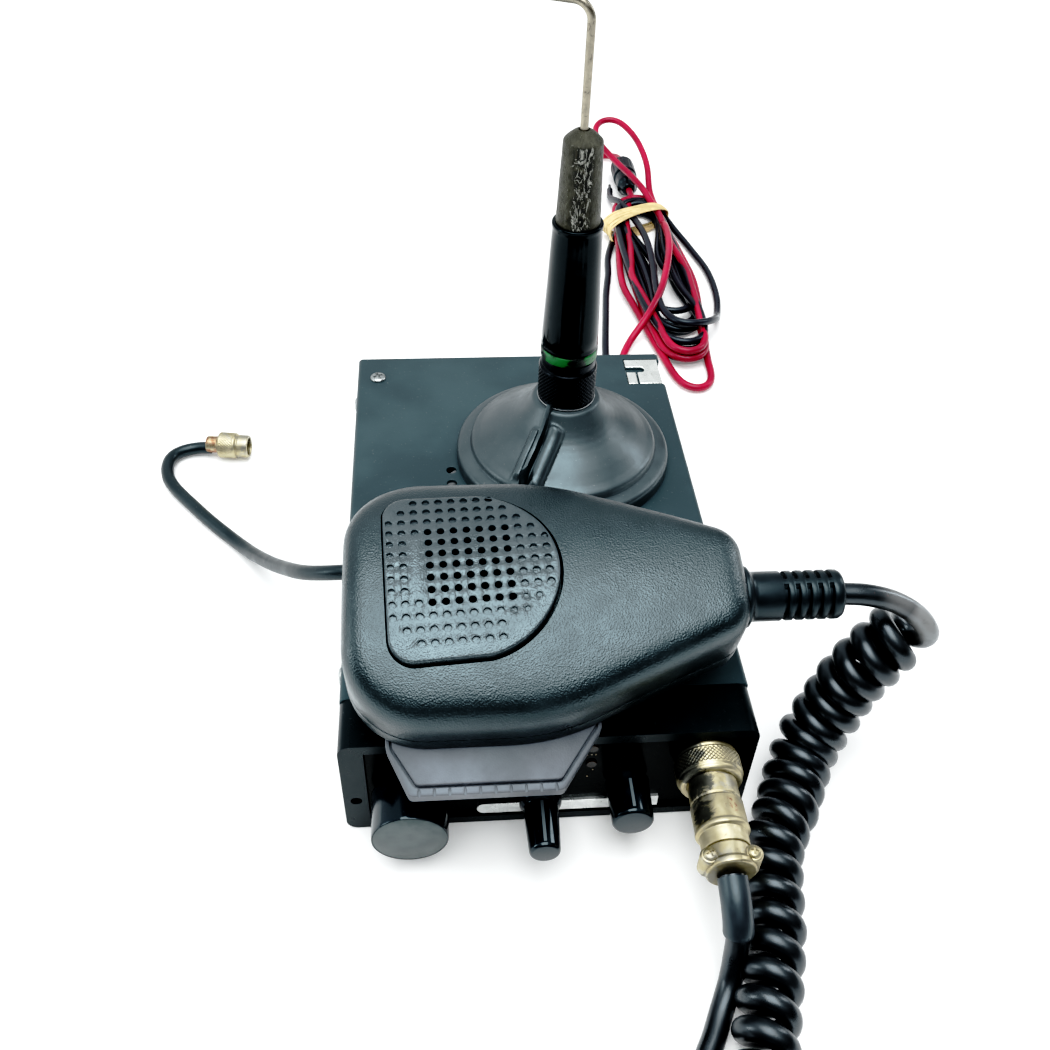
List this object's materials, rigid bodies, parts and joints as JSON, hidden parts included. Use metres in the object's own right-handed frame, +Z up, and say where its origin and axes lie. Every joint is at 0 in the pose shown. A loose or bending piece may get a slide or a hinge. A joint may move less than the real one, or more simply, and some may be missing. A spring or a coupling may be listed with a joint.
{
  "type": "two-way radio",
  "caption": "Compact mobile two-way radio with front knobs, a tilted hand microphone on a curly cord, a magnet-mount antenna with coax stub, and a tied power lead.",
  "frame": {"origin": "centre of the underside of the radio case, on the surface it stands on", "axes": "+X to the right seen from the front, +Y from the knobs towards the rear sockets, +Z up"},
  "size_m": [0.2498, 0.5703, 0.1933],
  "materials": {
    "cover_paint": "satin slate powder coat",
    "base_paint": "satin dark powder coat",
    "zinc": "zinc-plated sheet",
    "black_alloy": "black-coated aluminium",
    "nickel": "bright nickel plate",
    "screw_steel": "plated steel",
    "bezel_plastic": "moulded black",
    "panel_gloss": "glossy black panel",
    "silver_trim": "silver foil trim",
    "smoke_lens": "dark red lens",
    "module_grey": "dark grey module",
    "led_amber": "amber lens",
    "board_green": "green circuit board",
    "tin": "tin-plated cans",
    "alloy": "bare aluminium",
    "speaker_grey": "dark grey frame",
    "pot_metal": "stamped can",
    "knob_black": "black knob",
    "mic_plastic": "fine leather grain, worn",
    "grille_plastic": "grained insert",
    "lever_plastic": "fine satin grain",
    "spring_steel": "spring wire",
    "switch_red": "moulded switch",
    "rubber_black": "black rubber",
    "magnet_grey": "ferrite",
    "brass": "machined",
    "collar_black": "knurled black",
    "ring_green": "worn green ring",
    "coil_black": "heat-shrunk black tube",
    "worn_ferrule": "worn plating with dried glue",
    "whip_steel": "dull steel rod",
    "plug_metal": "pale gold plating, worn",
    "cord_black": "black cord jacket",
    "wire_red": "red and black wire",
    "band_tan": "tan rubber"
  },
  "bodies": {
    "radio": {"bottom_cover": "base_paint", "top_cover": "cover_paint", "chassis": "zinc", "rear_panel": "black_alloy", "rear_tab": "nickel", "cover_screws": "screw_steel", "front_bezel": "bezel_plastic", "front_panel": "panel_gloss", "trim_strip": "silver_trim", "display_window": "smoke_lens", "display_module": "module_grey", "indicator_leds": "led_amber", "front_board": "board_green", "main_board": "board_green", "rf_cans": "tin", "heat_spreader": "alloy", "speaker": "speaker_grey", "channel_encoder": "pot_metal", "squelch_pot": "pot_metal", "volume_pot": "pot_metal", "mic_jack": "nickel", "antenna_jack": "nickel", "speaker_jack": "nickel", "power_gland": "rubber_black", "mount_boot": "rubber_black", "mount_cup": "zinc", "mount_magnet": "magnet_grey", "mount_stud": "brass", "plug_shell": "plug_metal", "cord_clamp": "plug_metal", "mic_cord": "cord_black", "coax_cable": "cord_black", "coax_connector": "plug_metal", "power_leads": "wire_red", "power_hank": "wire_red", "rubber_band": "band_tan", "fuse_holder": "bezel_plastic"},
    "channel": {"channel_knob": "knob_black", "channel_shaft": "zinc"},
    "squelch": {"squelch_knob": "knob_black", "squelch_shaft": "zinc"},
    "volume": {"volume_knob": "knob_black", "volume_shaft": "zinc"},
    "microphone": {"mic_front_shell": "mic_plastic", "mic_back_shell": "mic_plastic", "grille_plate": "grille_plastic", "mic_element": "alloy", "mic_board": "board_green", "mic_switch": "switch_red", "mic_screws": "screw_steel", "hangup_stud": "nickel", "strain_relief": "rubber_black", "ptt_spring": "spring_steel"},
    "ptt": {"ptt_lever": "lever_plastic"},
    "plug_nut": {"coupling_nut": "plug_metal"},
    "antenna": {"antenna_collar": "collar_black", "marker_ring": "ring_green", "loading_coil": "coil_black", "antenna_ferrule": "worn_ferrule"},
    "whip_rod": {"whip": "whip_steel"}
  },
  "joints": [
    {"name": "channel_turn", "type": "hinge", "parent": "radio", "child": "channel", "pos_m": [-0.0395, -0.095, 0.018], "axis": [0, 1, 0], "continuous": true},
    {"name": "squelch_turn", "type": "hinge", "parent": "radio", "child": "squelch", "pos_m": [-0.0028, -0.095, 0.018], "axis": [0, 1, 0], "range_deg": [-140, 140]},
    {"name": "volume_turn", "type": "hinge", "parent": "radio", "child": "volume", "pos_m": [0.0226, -0.095, 0.018], "axis": [0, 1, 0], "range_deg": [-140, 140]},
    {"name": "mic_lift", "type": "slide", "parent": "radio", "child": "microphone", "axis": [0, 0, 1], "range_m": [0, 0.05]},
    {"name": "ptt_press", "type": "hinge", "parent": "microphone", "child": "ptt", "pos_m": [0.009, -0.08461, 0.04568], "axis": [0, 0.2588, -0.9659], "range_deg": [0, 3], "stiffness_Nm_per_rad": 0.3, "springref_deg": -5.73},
    {"name": "plug_nut_turn", "type": "hinge", "parent": "radio", "child": "plug_nut", "pos_m": [0.0445, -0.094, 0.027], "axis": [0, 1, 0], "continuous": true},
    {"name": "antenna_turn", "type": "hinge", "parent": "radio", "child": "antenna", "pos_m": [0.0145, 0.03, 0.07], "axis": [0, 0, 1], "continuous": true},
    {"name": "whip_trim", "type": "slide", "parent": "antenna", "child": "whip_rod", "axis": [0, 0, 1], "range_m": [0, 0.02]}
  ]
}
